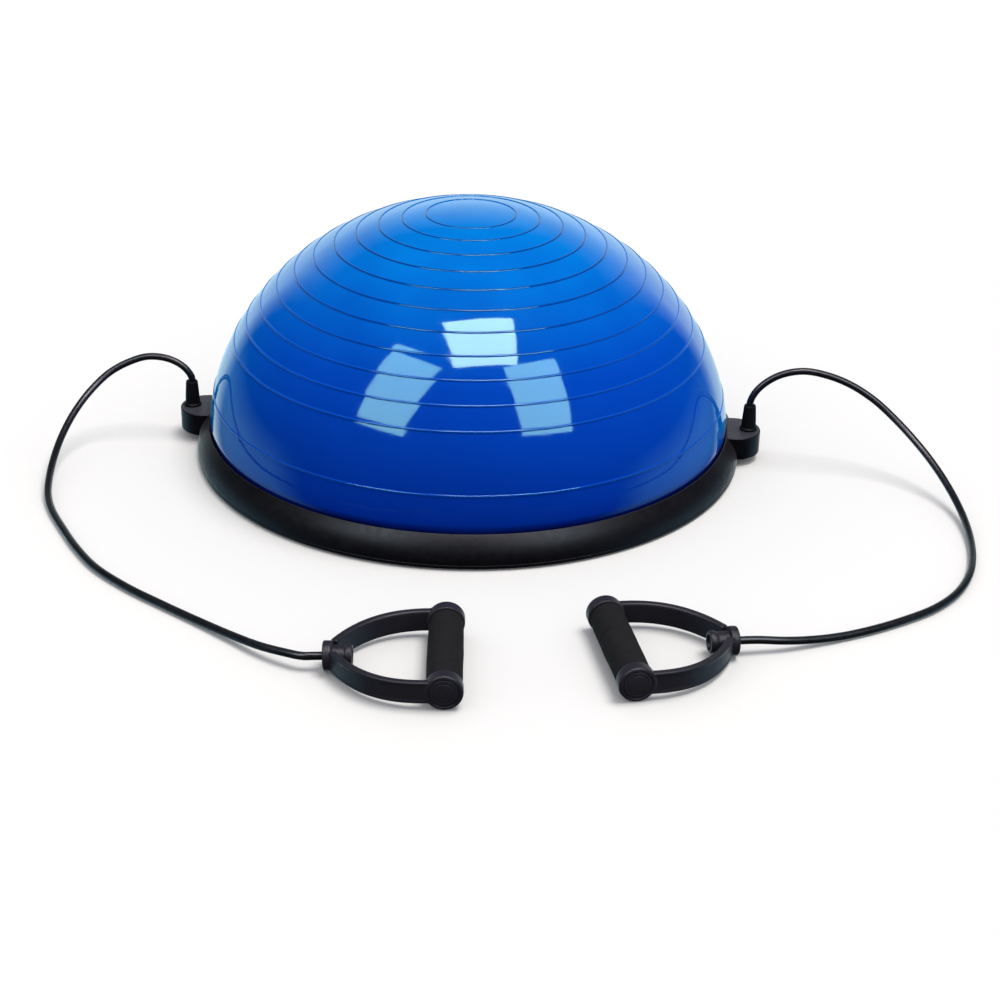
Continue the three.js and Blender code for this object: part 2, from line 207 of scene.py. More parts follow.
def along_x(shape):
    """Lays a shape that was turned about Z along X."""
    return placed(shape, Matrix.Rotation(math.pi / 2, 4, "Y"))


def along_y(shape, side=1):
    """Lays a shape that was turned about Z along Y, or along -Y with side -1."""
    return placed(shape, Matrix.Rotation(-side * math.pi / 2, 4, "X"))


def around(count, radius):
    """Places spread evenly on a circle, half a step off the X axis, as (x, y, angle)."""
    angles = [math.pi * (2 * k + 1) / count for k in range(count)]
    return [(radius * math.cos(angle), radius * math.sin(angle), angle) for angle in angles]


def shift(x, y=0):
    """A move by millimetres, as a matrix in metres."""
    return Matrix.Translation((x / 1000, y / 1000, 0))


def mesh_object(name, shape):
    points, faces = shape
    mesh = bpy.data.meshes.new(name)
    mesh.from_pydata((points / 1000).tolist(), [], faces)
    mesh.update()
    return add_object(name, mesh)


def mesh_of(obj):
    """Takes the mesh from a helper object, and removes the object."""
    mesh = obj.data
    bpy.data.objects.remove(obj)
    return mesh


def settle(obj):
    """Applies the object's modifiers to its mesh."""
    depsgraph = bpy.context.evaluated_depsgraph_get()
    final = bpy.data.meshes.new_from_object(obj.evaluated_get(depsgraph))
    obj.modifiers.clear()
    obj.data = final
    return obj


def combine(obj, shape, operation):
    """Cuts a shape out of an object, or joins it on."""
    tool = mesh_object("tool", shape)
    change = obj.modifiers.new("combine", "BOOLEAN")
    change.object = tool
    change.operation = operation
    change.solver = "EXACT"
    settle(obj)
    bpy.data.objects.remove(tool)


def smooth(obj, sharp=32):
    obj.data.shade_smooth()
    obj.data.set_sharp_from_angle(angle=math.radians(sharp))
    return obj


def level_shading(obj):
    """Weights normals by face size, so that large flat faces stay evenly shaded next to rounded edges."""
    change = obj.modifiers.new("level", "WEIGHTED_NORMAL")
    change.keep_sharp = True
    return settle(obj)


def finish_piece(obj, look, body, node, matrix=None):
    """Gives a piece its material, its place and its body, and hides the CAD node that it stands for."""
    if matrix is not None:
        obj.data = obj.data.copy()
        obj.data.transform(matrix)
    obj.data.materials.clear()
    obj.data.materials.append(LOOKS[look])
    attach(obj, body)
    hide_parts(node)


# ---------- material helpers ----------
LOOKS = {}


def new_look(name, **values):
    look = bpy.data.materials.new(name)
    look.use_nodes = True
    shader = look.node_tree.nodes["Principled BSDF"]
    for key, value in values.items():
        shader.inputs[key.replace("_", " ")].default_value = value
    LOOKS[name] = look
    return look.node_tree, shader


def noise(tree, size, detail=2.0, rough=0.5):
    """Noise in the object's own coordinates, with features of about the given size in metres."""
    where = tree.nodes.new("ShaderNodeTexCoord").outputs["Object"]
    texture = tree.nodes.new("ShaderNodeTexNoise")
    texture.inputs["Scale"].default_value = 1 / size
    texture.inputs["Detail"].default_value = detail
    texture.inputs["Roughness"].default_value = rough
    tree.links.new(where, texture.inputs["Vector"])
    return texture.outputs["Fac"]


def spread(tree, source, low, high, start=0.3, end=0.7):
    """Maps a source from start..end to low..high."""
    remap = tree.nodes.new("ShaderNodeMapRange")
    for key, value in (("From Min", start), ("From Max", end), ("To Min", low), ("To Max", high)):
        remap.inputs[key].default_value = value
    tree.links.new(source, remap.inputs["Value"])
    return remap.outputs["Result"]


def blend_colours(tree, share, first, second):
    mix = tree.nodes.new("ShaderNodeMix")
    mix.data_type = "RGBA"
    for socket, value in ((mix.inputs[6], first), (mix.inputs[7], second)):
        if isinstance(value, tuple):
            socket.default_value = (*value, 1)
        else:
            tree.links.new(value, socket)
    tree.links.new(share, mix.inputs[0])
    return mix.outputs[2]


def maths(tree, operation, *sources):
    node = tree.nodes.new("ShaderNodeMath")
    node.operation = operation
    for source, socket in zip(sources, node.inputs):
        tree.links.new(source, socket)
    return node.outputs[0]


def sum_of_colours(tree, first, second):
    node = tree.nodes.new("ShaderNodeVectorMath")
    tree.links.new(first, node.inputs[0])
    tree.links.new(second, node.inputs[1])
    return node.outputs[0]


def bump(tree, shader, height, depth, strength, below=None):
    """Adds a bump of the given depth in metres to the shader, over an earlier bump if there is one."""
    node = tree.nodes.new("ShaderNodeBump")
    node.inputs["Distance"].default_value = depth
    node.inputs["Strength"].default_value = strength
    tree.links.new(height, node.inputs["Height"])
    if below is not None:
        tree.links.new(below, node.inputs["Normal"])
    tree.links.new(node.outputs["Normal"], shader.inputs["Normal"])
    return node.outputs["Normal"]


# ---------- materials ----------
BLACK_GLOSS = (0.88, 0.84, 1.0, 1)  # the tint of what black pieces mirror
BLACK_SHEEN = (1.0, 0.78, 0.85, 1)
DOME_GLOSS = (0.5, 1.0, 0.85, 1)
DOME_SHEEN = (0.0, 0.32, 0.55, 1)

# The dome's colours from the rim, at 0, to the crown, at 1: painted shade darkens the blue at the joint
# with the rim, and painted light makes it paler towards the crown.
DOME_LIGHT_AND_SHADE_COLOURS = (
    (0, (0.001, 0.006, 0.09)),
    (0.015, (0.001, 0.018, 0.27)),
    (0.035, (0.001, 0.044, 0.52)),
    (0.55, (0.001, 0.075, 0.60)),
    (1, (0.001, 0.23, 0.74)),
)
DOME_CLOUDS = (0.0, 0.04, 0.42)
# The rings' painted lines: a paler painted highlight low on the dome, and dark painted shade towards the
# crown.
LOW_RIB_HIGHLIGHT = (0.006, 0.085, 0.54)
CROWN_RIB_SHADE = (0.0, 0.014, 0.17)


def dome_colour_with_painted_light(tree, height):
    ramp = tree.nodes.new("ShaderNodeValToRGB")
    stops = ramp.color_ramp.elements
    (_, lowest), *between, (_, highest) = DOME_LIGHT_AND_SHADE_COLOURS
    stops[0].color = (*lowest, 1)
    stops[1].color = (*highest, 1)
    for place, colour in between:
        stops.new(place).color = (*colour, 1)
    tree.links.new(height, ramp.inputs["Fac"])
    return ramp.outputs["Color"]


def dome_skin():
    """Glossy blue PVC, with painted shade that deepens it near the rim and painted light that makes it
    paler at the crown.
    """
    tree, shader = new_look("dome_skin", IOR=1.5, Specular_Tint=DOME_GLOSS, Sheen_Roughness=0.4,
                            Sheen_Tint=DOME_SHEEN)
    where = tree.nodes.new("ShaderNodeTexCoord").outputs["Object"]
    split = tree.nodes.new("ShaderNodeSeparateXYZ")
    tree.links.new(where, split.inputs["Vector"])
    height = spread(tree, split.outputs["Z"], 0, 1, RIM_TOP / 1000, DOME_TOP / 1000)
    cloudy = spread(tree, noise(tree, 0.07), 0.0, 0.28)
    # Painted shade near the rim and painted light towards the crown, by height, with a random cloudy tone
    # over them.
    skin = blend_colours(tree, cloudy, dome_colour_with_painted_light(tree, height), DOME_CLOUDS)
    # The rings get painted lines: a paler painted highlight low down and dark painted shade near the crown,
    # by the "rib" weight.
    crown = spread(tree, height, 0, 1, 0.55, 0.92)
    painted_rib_lines = blend_colours(tree, crown, LOW_RIB_HIGHLIGHT, CROWN_RIB_SHADE)
    rib = tree.nodes.new("ShaderNodeAttribute")
    rib.attribute_name = "rib"
    on_rib = spread(tree, rib.outputs["Fac"], 0, 0.75, 0, 1)
    tree.links.new(blend_colours(tree, on_rib, skin, painted_rib_lines), shader.inputs["Base Color"])
    tree.links.new(spread(tree, height, 0, 1, 0.03, 0.10), shader.inputs["Sheen Weight"])
    tree.links.new(spread(tree, noise(tree, 0.012, 4), 0.035, 0.075), shader.inputs["Roughness"])
    wave = bump(tree, shader, noise(tree, 0.035, 1), 0.0006, 0.25)
    bump(tree, shader, noise(tree, 0.0012, 2), 0.00002, 0.35, wave)


def moulded_plastic(name, colour, worn, painted_top_tone, rough, grain, shine):
    """Black moulded plastic: a fine spark-eroded grain, a cloudy tone, and a painted tone on what faces up:
    painted light where that tone is paler, painted shade where it is darker.
    """
    tree, shader = new_look(name, IOR=1.45, Specular_IOR_Level=shine, Specular_Tint=BLACK_GLOSS,
                            Sheen_Weight=0.12, Sheen_Roughness=0.35, Sheen_Tint=BLACK_SHEEN)
    tone = spread(tree, noise(tree, 0.03, 4), 0, 1)
    clean = blend_colours(tree, tone, colour, worn)
    facing = tree.nodes.new("ShaderNodeSeparateXYZ")
    tree.links.new(tree.nodes.new("ShaderNodeNewGeometry").outputs["Normal"], facing.inputs["Vector"])
    # Faces that point up take the painted top tone, in noisy patches.
    flat = spread(tree, facing.outputs["Z"], 0, 1, 0.70, 0.98)
    patches = spread(tree, noise(tree, 0.008, 5), 0.75, 1)
    dust_and_top_shading = maths(tree, "MULTIPLY", flat, patches)
    tree.links.new(blend_colours(tree, dust_and_top_shading, clean, painted_top_tone), shader.inputs["Base Color"])
    tree.links.new(spread(tree, noise(tree, 0.006, 5), *rough), shader.inputs["Roughness"])
    bump(tree, shader, noise(tree, grain, 3, 0.6), 0.00004, 0.6)


FOAM_CELL = 0.0011  # metres
# The pits are painted darker than the foam's face: painted shade in the cells.
FOAM_PIT_SHADE = (0.003, 0.0025, 0.0035)
FOAM_FACE = (0.009, 0.0075, 0.0105)


def grip_foam():
    """Closed-cell foam: small pits all over, painted darker inside as painted shade, and almost no gloss.
    """
    tree, shader = new_look("grip_foam", IOR=1.4, Specular_IOR_Level=0.25)
    pits = tree.nodes.new("ShaderNodeTexVoronoi")
    pits.inputs["Scale"].default_value = 1 / FOAM_CELL
    tree.links.new(tree.nodes.new("ShaderNodeTexCoord").outputs["Object"], pits.inputs["Vector"])
    depth = spread(tree, pits.outputs["Distance"], 0, 1, 0.05, 0.6)
    tone = blend_colours(tree, depth, FOAM_PIT_SHADE, FOAM_FACE)
    tree.links.new(tone, shader.inputs["Base Color"])
    tree.links.new(spread(tree, noise(tree, 0.01), 0.85, 0.98), shader.inputs["Roughness"])
    soft = bump(tree, shader, noise(tree, 0.006, 3), 0.0006, 0.5)
    bump(tree, shader, depth, 0.0003, 0.8, soft)


def rubber(name, colour, rough, grain, shine):
    """Black rubber with a faint grain and a dusty bloom in patches."""
    tree, shader = new_look(name, IOR=1.5, Specular_IOR_Level=shine, Specular_Tint=BLACK_GLOSS)
    dust_and_top_shading = spread(tree, noise(tree, 0.015, 4), 0, 1)
    paler = tuple(2.2 * value for value in colour)
    tree.links.new(blend_colours(tree, dust_and_top_shading, colour, paler), shader.inputs["Base Color"])
    tree.links.new(spread(tree, noise(tree, 0.004, 4), *rough), shader.inputs["Roughness"])
    bump(tree, shader, noise(tree, grain, 3), 0.00004, 0.5)


def screw_steel():
    """Zinc-plated steel, blotchy and slightly scratched."""
    tree, shader = new_look("screw_steel", Metallic=1.0)
    tone = spread(tree, noise(tree, 0.002, 4), 0, 1)
    zinc = blend_colours(tree, tone, (0.42, 0.43, 0.45), (0.60, 0.60, 0.58))
    tree.links.new(zinc, shader.inputs["Base Color"])
    tree.links.new(spread(tree, noise(tree, 0.0008, 3), 0.25, 0.45), shader.inputs["Roughness"])
    bump(tree, shader, noise(tree, 0.0004, 2), 0.00001, 0.5)


def make_looks():
    dome_skin()
    # The base's upward faces get painted light.
    moulded_plastic("base_plastic", colour=(0.004, 0.004, 0.006), worn=(0.007, 0.006, 0.009),
                    painted_top_tone=(0.056, 0.055, 0.066), rough=(0.36, 0.48), grain=0.0006, shine=0.25)
    # The handles' upward faces get painted shade, so that their sides look lighter than their tops.
    moulded_plastic("handle_plastic", colour=(0.022, 0.020, 0.026), worn=(0.033, 0.030, 0.038),
                    painted_top_tone=(0.015, 0.0135, 0.019), rough=(0.38, 0.50), grain=0.0005, shine=0.3)
    grip_foam()
    rubber("cord_rubber", colour=(0.006, 0.006, 0.008), rough=(0.26, 0.38), grain=0.0015, shine=0.5)
    rubber("black_rubber", colour=(0.004, 0.004, 0.005), rough=(0.52, 0.66), grain=0.0008, shine=0.14)
    screw_steel()


# ---------- cords (metres) ----------
CORD_R = 0.00375
INSIDE_HUB = (-0.008, -0.002, 0.006, 0.0147)  # the cord's last points, along the hub's axis

# Each cord's route: from the stop under its lug through the sleeve, over in an arch, down to the floor
# and round to the hub of its handle.
LEFT_ROUTE = [
    (-0.300, 0, 0.017), (-0.300, 0, 0.045), (-0.300, 0, 0.058), (-0.300, 0, 0.064), (-0.308, 0.001, 0.075),
    (-0.325, 0.003, 0.083), (-0.347, 0.002, 0.085), (-0.367, -0.004, 0.080), (-0.386, -0.014, 0.071),
    (-0.402, -0.031, 0.058), (-0.414, -0.055, 0.044), (-0.421, -0.086, 0.030), (-0.422, -0.120, 0.019),
    (-0.419, -0.153, 0.011), (-0.413, -0.181, 0.0065), (-0.402, -0.209, 0.0044), (-0.381, -0.247, 0.004),
    (-0.356, -0.288, 0.004), (-0.329, -0.324, 0.004), (-0.292, -0.358, 0.004), (-0.251, -0.388, 0.004),
    (-0.214, -0.414, 0.0044), (-0.177, -0.441, 0.0065), (-0.148, -0.462, 0.0096),
    (-0.124, -0.4752, 0.0122), (-0.106, -0.4818, 0.0133),
]
RIGHT_ROUTE = [
    (0.300, 0, 0.017), (0.300, 0, 0.045), (0.300, 0, 0.058), (0.300, 0, 0.064), (0.305, 0.001, 0.075),
    (0.316, 0.003, 0.086), (0.332, 0.004, 0.095), (0.354, 0.003, 0.100), (0.379, 0.001, 0.097),
    (0.404, -0.003, 0.089), (0.429, -0.011, 0.076), (0.452, -0.025, 0.060), (0.473, -0.045, 0.044),
    (0.489, -0.068, 0.031), (0.502, -0.096, 0.019), (0.511, -0.133, 0.010), (0.514, -0.177, 0.0054),
    (0.511, -0.219, 0.004), (0.502, -0.258, 0.004), (0.485, -0.295, 0.004), (0.462, -0.324, 0.004),
    (0.437, -0.345, 0.004), (0.403, -0.368, 0.004), (0.370, -0.386, 0.0046), (0.341, -0.3992, 0.007),
    (0.317, -0.4084, 0.0102), (0.295, -0.4136, 0.0128),
]
ROUTES = {"left": LEFT_ROUTE, "right": RIGHT_ROUTE}


def handle_matrix(side):
    """The handle's own frame: origin on the hub's outer face, +X towards the grip, +Y along the grip."""
    hub = JOINTS[f"{side}_handle_swivel"]
    x = Vector(hub["axis"]).normalized()
    y = Vector(JOINTS[f"{side}_grip_spin"]["axis"]).normalized()
    matrix = Matrix((x, y, x.cross(y))).transposed().to_4x4()
    return Matrix.Translation(hub["pos_m"]) @ matrix


def grip_distance():
    hub = Vector(JOINTS["left_handle_swivel"]["pos_m"])
    return mm((Vector(JOINTS["left_grip_spin"]["pos_m"]) - hub).length)


def smooth_path(points, steps=8):
    """A centripetal Catmull-Rom curve through the points, sampled evenly between each two."""
    points = [Vector(point) for point in points]
    points = [2 * points[0] - points[1], *points, 2 * points[-1] - points[-2]]
    path = []
    for a, b, c, d in zip(points, points[1:], points[2:], points[3:]):
        before = math.sqrt((b - a).length)
        between = math.sqrt((c - b).length)
        after = math.sqrt((d - c).length)
        leave = ((b - a) / before - (c - a) / (before + between) + (c - b) / between) * between
        arrive = ((c - b) / between - (d - b) / (between + after) + (d - c) / after) * between
        for k in range(steps):
            t = k / steps
            cubic = (2 * b - 2 * c + leave + arrive) * t**3
            square = (3 * c - 3 * b - 2 * leave - arrive) * t**2
            path.append(cubic + square + leave * t + b)
    return [*path, points[-2]]


def make_cord(side):
    place = handle_matrix(side)
    inside = [place @ Vector((x, 0, 0)) for x in INSIDE_HUB]
    path = smooth_path(ROUTES[side] + inside)
    curve = bpy.data.curves.new(f"{side}_cord_piece", "CURVE")
    curve.dimensions = "3D"
    spline = curve.splines.new("POLY")
    spline.points.add(len(path) - 1)
    for point, at in zip(spline.points, path):
        point.co = (*at, 1)
    spline.use_smooth = True
    curve.bevel_depth = CORD_R
    curve.bevel_resolution = 8
    curve.use_fill_caps = True
    cord = add_object(f"{side}_cord_piece", curve)
    finish_piece(cord, "cord_rubber", f"{side}_band", f"{side}_cord")
    exit_point = Vector(ROUTES[side][0])
    exit_point.z = LUG_TOP / 1000


# ---------- dome ----------
RISE_POWER = 1.74  # with 2 for both powers, the dome's outline would be a quarter of an ellipse
BULGE_POWER = 2.13
CROWN_RING_ARC = 46.5  # distance from the crown to the first raised ring, along the skin
RING_STEP_ARC = 25.0
EVEN_RINGS = 11
LAST_RING_ARC = 358  # the lowest ring stands apart
RING_WIDTH = 2.5
RING_HEIGHT = 0.75
RING_STEPS = 12  # rows across one ring
RING_POWER = 0.6  # a ring's section is half an ellipse at 0.5, and more pointed above that
SWELL = 0.14  # how far the skin swells between two rings
SWELL_POWER = 0.8
ROW_STEP = 4  # about how far apart the skin's rows are between two rings
CLEAR = (0.51, 0.95)  # no row lies between these distances from a ring's middle, in ring widths
RIB_PAINT_SHARES = (0.25, 0.75)  # the shares of a ring's height where its painted highlight and shade start, and where they are full
TUCK_HEIGHT = 7  # the skin tucks in below this height above the rim
TUCK = 1.5
DOME_WALL = 2.5
SKIN_LOW = 26  # where the skin leaves the ring's throat
NECK_TOP = 22


def dome_line(inset=0.0, count=1200):
    """The dome's outline from the crown to the rim, as radius and z, fuller than a circle near the rim."""
    share = np.linspace(1, 0, count)
    rise = np.sin(share * math.pi / 2)
    z = RIM_TOP + (DOME_TOP - inset - RIM_TOP) * rise
    radius = (DOME_R - inset) * np.maximum(0, 1 - rise**RISE_POWER) ** (1 / BULGE_POWER)
    low = np.clip(1 - (z - RIM_TOP) / TUCK_HEIGHT, 0, 1)
    return radius - TUCK * low**2, z


def skin_offsets(length):
    """How far the skin stands out from the dome's line, at distances from the crown: a faint swell between
    each two rings, and a rounded rib at each ring."""
    rings = [CROWN_RING_ARC + RING_STEP_ARC * k for k in range(EVEN_RINGS)] + [LAST_RING_ARC]
    edges = [0, *rings, length]
    offsets = {}
    for start, end in zip(edges, edges[1:]):
        rows = max(4, round((end - start) / ROW_STEP))
        swell = SWELL if start > 0 else 0
        for k in range(1, rows):
            share = k / rows
            offsets[start + (end - start) * share] = swell * math.sin(math.pi * share) ** SWELL_POWER
    for ring in rings:
        for k in range(RING_STEPS + 1):
            across = math.cos(math.pi * k / RING_STEPS)
            offsets[ring + across * RING_WIDTH / 2] = RING_HEIGHT * (1 - across * across) ** RING_POWER
        for near in list(offsets):
            if CLEAR[0] < abs(near - ring) / RING_WIDTH < CLEAR[1]:
                del offsets[near]
    return offsets


def outer_skin():
    """The skin's outline from the crown down to the rim, and how much of a ring's painted highlight and
    shade each point has.
    """
    radius, z = dome_line()
    arc = np.concatenate([[0], np.cumsum(np.hypot(np.diff(radius), np.diff(z)))])
    normal_r = -np.gradient(z, arc)
    normal_z = np.gradient(radius, arc)
    outline = [(0.0, DOME_TOP)]
    ribs = [0.0]
    for place, offset in sorted(skin_offsets(arc[-1]).items()):
        out_r = np.interp(place, arc, normal_r)
        out_z = np.interp(place, arc, normal_z)
        stretch = offset / math.hypot(out_r, out_z)
        outline.append((float(np.interp(place, arc, radius) + out_r * stretch),
                        float(np.interp(place, arc, z) + out_z * stretch)))
        ribs.append(float(np.interp(offset / RING_HEIGHT, RIB_PAINT_SHARES, (0, 1))))
    outline.append((DOME_R - TUCK, RIM_TOP))
    ribs.append(0.0)
    return outline, ribs


def dome_profile():
    outline, ribs = outer_skin()
    inside = [(float(radius), float(z)) for radius, z in zip(*dome_line(DOME_WALL, 40))]
    inside[0] = (0.0, DOME_TOP - DOME_WALL)
    neck = DOME_R - DOME_WALL
    below = rounded([
        (neck, BEAD_LOW), (BEAD_R, BEAD_LOW, 1), (BEAD_R, BEAD_TOP, 1), (DOME_R - 1, BEAD_TOP + GAP),
        (DOME_R - TUCK, SKIN_LOW),
    ])
    profile = below + outline[::-1] + inside + [(neck, NECK_TOP), below[0]]
    return profile, [0.0] * len(below) + ribs[::-1] + [0.0] * (len(inside) + 1)


def make_dome():
    profile, ribs = dome_profile()
    dome = smooth(mesh_object("dome_bladder_piece", turned(profile, LARGE_ROUND)), 50)
    weights = []
    for (radius, _), rib in zip(profile, ribs):
        weights += [rib] * (1 if on_axis(radius) else LARGE_ROUND)
    # The "rib" weight tells the material where to paint the rings' highlight and shade.
    dome.data.attributes.new("rib", "FLOAT", "POINT").data.foreach_set("value", weights)
    finish_piece(dome, "dome_skin", "base", "dome_bladder")


# ---------- rim and platform ----------
SCREWS = 12
SCREW_CIRCLE_R = 283.2
SCREW_PLACES = around(SCREWS, SCREW_CIRCLE_R)
PILOT_R = 2.2
PILOT_TOP = 15.6
SINK_R = 3.9  # the hole that a screw's head is sunk in
SINK_TOP = 4.3
FEET = 8
FOOT_CIRCLE_R = 245
FOOT_PLACES = around(FEET, FOOT_CIRCLE_R)
FOOT_R = 14
CENTRE_FOOT_R = 22
SOCKET_R = 7.9
SOCKET_STEP = 16.5  # the step in a lug that holds the cord's stop
STOP_POCKET_R = 9.6
LUG_LOW = 7
CREST_R = 277.6  # the outer edge of the ring's narrow top
FACE_STEPS = 14
UPSTAND_R = (268, 272.2)
UPSTAND_TOP = 20
STIFFENERS = 8
STIFFENER = ((40, -2, 3), (269, 2, 13))  # one bar, along X
VALVE_R = 9


def rim_profile():
    """A rolled outer face that rises to a narrow rounded lip round the dome."""
    low = RIM_LOW + 1
    rise = RIM_TOP - 0.2 - low
    face = []
    for k in range(1, FACE_STEPS + 1):
        share = k / FACE_STEPS
        face.append((BASE_R - (BASE_R - CREST_R) * share**2, low + rise * share))
    return rounded([
        (0, RIM_LOW), (BASE_R, RIM_LOW, 0.6), *face, (CREST_R - 0.3, RIM_TOP, 0.7), (0, RIM_TOP),
    ])


def make_rim():
    rim = mesh_object("rim_ring_piece", turned(rim_profile(), LARGE_ROUND))
    lug = rounded([(0, LUG_LOW), (LUG_R, LUG_LOW, 2), (LUG_R, LUG_TOP, 1.3), (0, LUG_TOP)])
    for side in (-1, 1):
        combine(rim, moved(turned(lug, HANDLE_ROUND), side * LUG_CENTRE_X, 0), "UNION")
    throat = DOME_R + GAP
    mouth = throat + 1.2
    cavity = rounded([
        (0, 0), (BEAD_R + GAP, 0), (BEAD_R + GAP, BEAD_TOP + GAP), (throat, BEAD_TOP + 2 * GAP),
        (throat, RIM_TOP - 0.9), (mouth, RIM_TOP + 0.4), (mouth, RIM_TOP + OVERSHOOT),
        (0, RIM_TOP + OVERSHOOT),
    ])
    combine(rim, turned(cavity, LARGE_ROUND), "DIFFERENCE")
    socket_mouth = SOCKET_R + EDGE
    socket = turned(rounded([
        (0, 0), (STOP_POCKET_R, 0), (STOP_POCKET_R, SOCKET_STEP), (SOCKET_R, SOCKET_STEP),
        (SOCKET_R, LUG_TOP - EDGE), (socket_mouth, LUG_TOP + 0.01), (socket_mouth, LUG_TOP + OVERSHOOT),
        (0, LUG_TOP + OVERSHOOT),
    ]))
    pilot = turned([(0, 0), (PILOT_R, 0), (PILOT_R, PILOT_TOP), (0, PILOT_TOP)], PILOT_ROUND)
    tools = [moved(socket, side * SOCKET_X, 0) for side in (-1, 1)]
    tools += [moved(pilot, x, y) for x, y, _ in SCREW_PLACES]
    combine(rim, joined(tools), "DIFFERENCE")
    finish_piece(level_shading(smooth(rim)), "base_plastic", "base", "rim_ring")


def foot_pocket(radius):
    top = PLATE_LOW + 1
    return turned([(0, 0), (radius + GAP, 0), (radius + GAP, top), (0, top)], POCKET_ROUND)


def make_platform():
    in_r, out_r = UPSTAND_R
    clamp = BEAD_LOW - GAP
    profile = rounded([
        (0, PLATE_LOW), (BASE_R, PLATE_LOW, 1.4), (BASE_R, PLATE_TOP, 0.4), (BEAD_R, PLATE_TOP),
        (BEAD_R, clamp), (out_r, clamp), (out_r, UPSTAND_TOP, 0.8), (in_r, UPSTAND_TOP, 0.8),
        (in_r, PLATE_TOP, 1.5), (0, PLATE_TOP),
    ])
    plate = mesh_object("base_platform_piece", turned(profile, LARGE_ROUND))
    turns = [Matrix.Rotation(angle, 4, "Z") for _, _, angle in around(STIFFENERS, 1)]
    bars = [placed(box(*STIFFENER), turn) for turn in turns]
    combine(plate, joined(bars), "UNION")
    above = PLATE_TOP + OVERSHOOT
    sink = turned([
        (0, 0), (SINK_R + 0.7, 0), (SINK_R, 2.2), (SINK_R, SINK_TOP), (PILOT_R, SINK_TOP), (PILOT_R, above),
        (0, above),
    ], SCREW_ROUND)
    hole_r = VALVE_R + GAP
    valve_hole = turned([(0, 0), (hole_r + 1, 0), (hole_r, 2.5), (hole_r, above), (0, above)], POCKET_ROUND)
    tools = [foot_pocket(CENTRE_FOOT_R)]
    tools += [moved(foot_pocket(FOOT_R), x, y) for x, y, _ in FOOT_PLACES]
    tools += [moved(sink, x, y) for x, y, _ in SCREW_PLACES]
    tools.append(moved(valve_hole, 0, VALVE_Y))
    combine(plate, joined(tools), "DIFFERENCE")
    finish_piece(level_shading(smooth(plate)), "base_plastic", "base", "base_platform")


# ---------- feet, screws and valve ----------
FOOT_HEIGHT = 2.2
GROOVE_STEP = 4.0
GROOVE_DEPTH = 0.5
HEAD_R = 3.6
HEAD_LOW = 1.9
HEAD_TOP = 3.6
THREADS = 11
THREAD_R = 1.9
THREAD_ROOT_R = 1.5
THREAD_PITCH = 0.8
THREAD_LOW = 4.2
SCREW_TIP = 15.3
VALVE_BORE_R = 4.4
VALVE_LOW = 1.8
VALVE_TOP = 17.5
FLANGE_R = 15
PLUG_CAP_R = 6
PLUG_LOW = 0.4
PLUG_TOP = 16


def foot_shape(radius):
    """A rubber disc with concentric grooves in its sole."""
    corners = [(0, 0)]
    groove = GROOVE_STEP
    while groove < radius - 3:
        corners += [(groove - 0.6, 0), (groove - 0.3, GROOVE_DEPTH)]
        corners += [(groove + 0.3, GROOVE_DEPTH), (groove + 0.6, 0)]
        groove += GROOVE_STEP
    corners += [(radius, 0, 0.6), (radius, FOOT_HEIGHT, 0.3), (0, FOOT_HEIGHT)]
    return turned(rounded(corners), FOOT_ROUND)


def make_feet():
    foot = smooth(mesh_object("foot_centre_piece", foot_shape(CENTRE_FOOT_R)))
    finish_piece(foot, "black_rubber", "base", "foot_centre")
    shared = mesh_of(smooth(mesh_object("foot_shape", foot_shape(FOOT_R))))
    for k, (x, y, _) in enumerate(FOOT_PLACES):
        node = f"foot_{k + 1:02d}"
        finish_piece(add_object(f"{node}_piece", shared), "black_rubber", "base", node, shift(x, y))


def screw_mesh():
    """A pan head with a cross recess, and a threaded shank."""
    corners = [
        (0, HEAD_LOW), (HEAD_R - 1, HEAD_LOW, 0.5), (HEAD_R, HEAD_LOW + 0.7, 0.6), (HEAD_R, HEAD_TOP, 0.2),
        (1.6, HEAD_TOP),
    ]
    for k in range(THREADS):
        z = THREAD_LOW + THREAD_PITCH * k
        corners += [(THREAD_R, z), (THREAD_ROOT_R, z + THREAD_PITCH / 2)]
    corners += [(1.2, SCREW_TIP - 1.7), (0, SCREW_TIP)]
    screw = mesh_object("screw_shape", turned(rounded(corners), SCREW_ROUND))
    slot = box((-2.0, -0.4, 0), (2.0, 0.4, HEAD_LOW + 1))
    for turn in (0, math.pi / 2):
        combine(screw, placed(slot, Matrix.Rotation(turn, 4, "Z")), "DIFFERENCE")
    return mesh_of(smooth(screw))


def make_screws():
    shared = screw_mesh()
    for k, (x, y, angle) in enumerate(SCREW_PLACES):
        node = f"rim_screw_{k + 1:02d}"
        place = shift(x, y) @ Matrix.Rotation(angle + k, 4, "Z")
        finish_piece(add_object(f"{node}_piece", shared), "screw_steel", "base", node, place)


